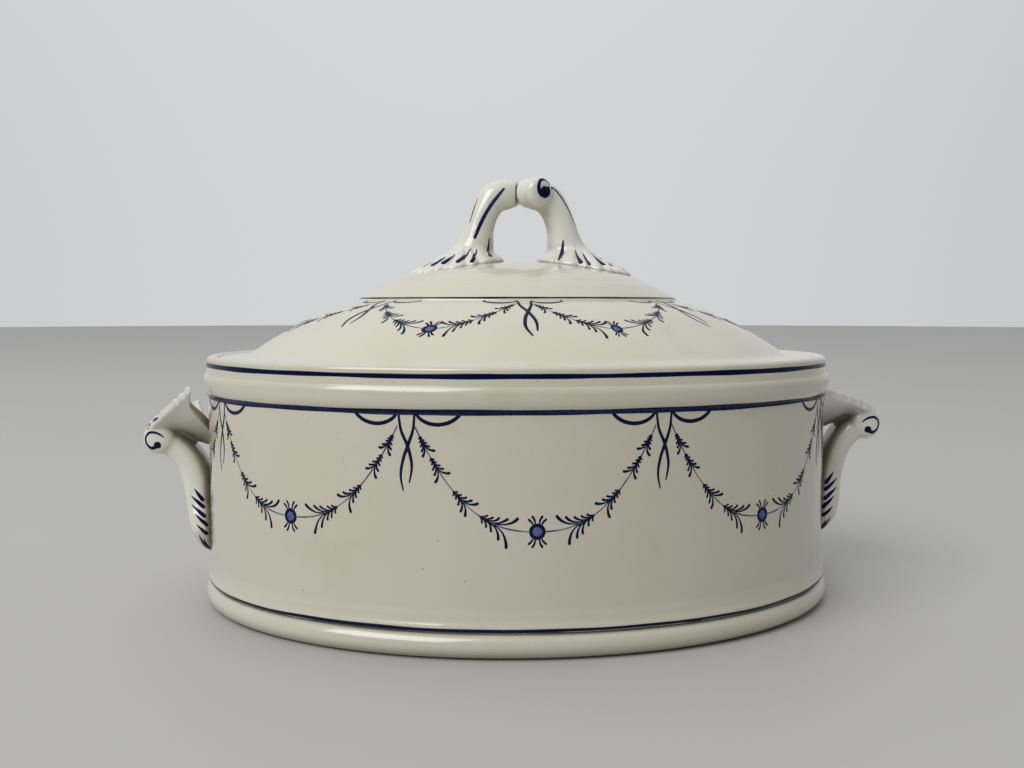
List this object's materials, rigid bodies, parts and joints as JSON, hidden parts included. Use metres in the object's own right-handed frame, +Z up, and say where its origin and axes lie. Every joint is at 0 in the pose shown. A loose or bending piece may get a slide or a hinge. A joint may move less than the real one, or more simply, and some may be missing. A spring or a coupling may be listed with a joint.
{
  "type": "covered oval tureen",
  "caption": "Oval lidded serving tureen in cream-glazed earthenware with painted blue garlands, scroll side handles and an arched handle on its lift-off lid.",
  "frame": {"origin": "on the surface the tureen stands on, under the middle of the bowl", "axes": "+X along the long axis of the oval, +Z up, +Y away from the painted front"},
  "size_m": [0.3098, 0.1992, 0.173],
  "materials": {
    "bowl_glaze": "high-gloss cream glaze over earthenware, painted navy lines and garlands",
    "side_handle_glaze": "high-gloss cream glaze with painted navy leaf strokes",
    "lid_glaze": "high-gloss cream glaze over earthenware, painted navy line and garlands",
    "lid_handle_glaze": "high-gloss cream glaze with painted navy leaf strokes"
  },
  "bodies": {
    "bowl": {"bowl": "bowl_glaze", "side_handle_right": "side_handle_glaze", "side_handle_left": "side_handle_glaze"},
    "lid": {"lid": "lid_glaze", "lid_handle_right_branch": "lid_handle_glaze", "lid_handle_left_branch": "lid_handle_glaze"}
  },
  "joints": [
    {"name": "lid_lift", "type": "slide", "parent": "bowl", "child": "lid", "axis": [0, 0, 1], "range_m": [0, 0.12]}
  ]
}
